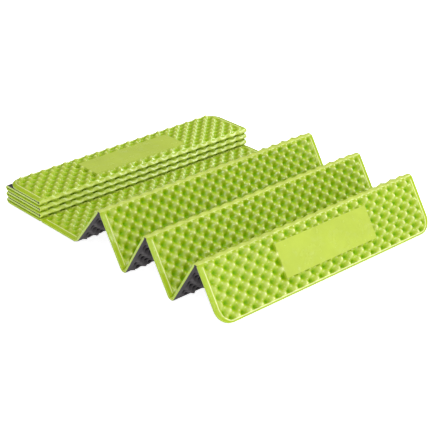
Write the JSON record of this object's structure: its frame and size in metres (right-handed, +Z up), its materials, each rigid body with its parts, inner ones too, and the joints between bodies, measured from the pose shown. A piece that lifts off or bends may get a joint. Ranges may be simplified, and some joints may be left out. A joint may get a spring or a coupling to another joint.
{
  "type": "folding foam sleeping pad",
  "caption": "Accordion-fold closed-cell foam sleeping pad with an egg-crate face, light green above and dark grey below, that folds into a flat block and opens to full length.",
  "frame": {"origin": "on the floor, in the middle of the area that the part-folded pad covers", "axes": "+X along the creases, -Y towards the spread zigzag end, +Z up"},
  "size_m": [0.6, 0.7086, 0.1105],
  "materials": {
    "top_foam": "lime green closed-cell foam with a smooth moulded skin and a soft sheen",
    "base_foam": "dark grey closed-cell foam, matte",
    "pressed_crease": "the same foam pressed thin and smooth along a crease"
  },
  "bodies": {
    "panel_01": {"panel_01_top": "top_foam", "panel_01_base": "base_foam"},
    "panel_02": {"panel_02_top": "top_foam", "panel_02_base": "base_foam", "crease_01_02": "pressed_crease"},
    "panel_03": {"panel_03_top": "top_foam", "panel_03_base": "base_foam", "crease_02_03": "pressed_crease"},
    "panel_04": {"panel_04_top": "top_foam", "panel_04_base": "base_foam", "crease_03_04": "pressed_crease"},
    "panel_05": {"panel_05_top": "top_foam", "panel_05_base": "base_foam", "crease_04_05": "pressed_crease"},
    "panel_06": {"panel_06_top": "top_foam", "panel_06_base": "base_foam", "crease_05_06": "pressed_crease"},
    "panel_07": {"panel_07_top": "top_foam", "panel_07_base": "base_foam", "crease_06_07": "pressed_crease"},
    "panel_08": {"panel_08_top": "top_foam", "panel_08_base": "base_foam", "crease_07_08": "pressed_crease", "crease_08_09": "pressed_crease"},
    "panel_09": {"panel_09_top": "top_foam", "panel_09_base": "base_foam", "crease_09_10": "pressed_crease"},
    "panel_10": {"panel_10_top": "top_foam", "panel_10_base": "base_foam", "crease_10_11": "pressed_crease"},
    "panel_11": {"panel_11_top": "top_foam", "panel_11_base": "base_foam", "crease_11_12": "pressed_crease"},
    "panel_12": {"panel_12_top": "top_foam", "panel_12_base": "base_foam", "crease_12_13": "pressed_crease"},
    "panel_13": {"panel_13_top": "top_foam", "panel_13_base": "base_foam", "crease_13_14": "pressed_crease"},
    "panel_14": {"panel_14_top": "top_foam", "panel_14_base": "base_foam"}
  },
  "joints": [
    {"name": "fold_01_02", "type": "hinge", "parent": "panel_02", "child": "panel_01", "pos_m": [0, -0.2817, 0.1068], "axis": [-1, 0, 0], "range_deg": [-64.4, 115.61]},
    {"name": "fold_02_03", "type": "hinge", "parent": "panel_03", "child": "panel_02", "pos_m": [0, -0.20777, 0.00328], "axis": [1, 0, 0], "range_deg": [-64.4, 115.61]},
    {"name": "fold_03_04", "type": "hinge", "parent": "panel_04", "child": "panel_03", "pos_m": [0, -0.13383, 0.1068], "axis": [-1, 0, 0], "range_deg": [-64.4, 115.61]},
    {"name": "fold_04_05", "type": "hinge", "parent": "panel_05", "child": "panel_04", "pos_m": [0, -0.05989, 0.00328], "axis": [1, 0, 0], "range_deg": [-64.4, 115.61]},
    {"name": "fold_05_06", "type": "hinge", "parent": "panel_06", "child": "panel_05", "pos_m": [0, 0.01405, 0.1068], "axis": [-1, 0, 0], "range_deg": [-60.6, 108.8]},
    {"name": "fold_06_07", "type": "hinge", "parent": "panel_07", "child": "panel_06", "pos_m": [0, 0.09972, 0.01276], "axis": [1, 0, 0], "range_deg": [-110, 51]},
    {"name": "fold_07_08", "type": "hinge", "parent": "panel_08", "child": "panel_07", "pos_m": [0, 0.22672, 0.00536], "axis": [-1, 0, 0], "range_deg": [-180, 0]},
    {"name": "fold_08_09", "type": "hinge", "parent": "panel_08", "child": "panel_09", "pos_m": [0, 0.35372, 0.01276], "axis": [-1, 0, 0], "range_deg": [0, 180]},
    {"name": "fold_09_10", "type": "hinge", "parent": "panel_09", "child": "panel_10", "pos_m": [0, 0.22672, 0.02016], "axis": [1, 0, 0], "range_deg": [0, 180]},
    {"name": "fold_10_11", "type": "hinge", "parent": "panel_10", "child": "panel_11", "pos_m": [0, 0.35372, 0.02756], "axis": [-1, 0, 0], "range_deg": [0, 180]},
    {"name": "fold_11_12", "type": "hinge", "parent": "panel_11", "child": "panel_12", "pos_m": [0, 0.22672, 0.03496], "axis": [1, 0, 0], "range_deg": [0, 180]},
    {"name": "fold_12_13", "type": "hinge", "parent": "panel_12", "child": "panel_13", "pos_m": [0, 0.35372, 0.04236], "axis": [-1, 0, 0], "range_deg": [0, 180]},
    {"name": "fold_13_14", "type": "hinge", "parent": "panel_13", "child": "panel_14", "pos_m": [0, 0.22672, 0.04976], "axis": [1, 0, 0], "range_deg": [0, 180]}
  ],
  "couplings": [
    {"joint": "fold_04_05", "follows": "fold_05_06", "ratio": 1.0625},
    {"joint": "fold_03_04", "follows": "fold_05_06", "ratio": 1.0625},
    {"joint": "fold_02_03", "follows": "fold_05_06", "ratio": 1.0625},
    {"joint": "fold_01_02", "follows": "fold_05_06", "ratio": 1.0625},
    {"joint": "fold_09_10", "follows": "fold_08_09", "ratio": 1},
    {"joint": "fold_11_12", "follows": "fold_10_11", "ratio": 1},
    {"joint": "fold_13_14", "follows": "fold_12_13", "ratio": 1}
  ]
}
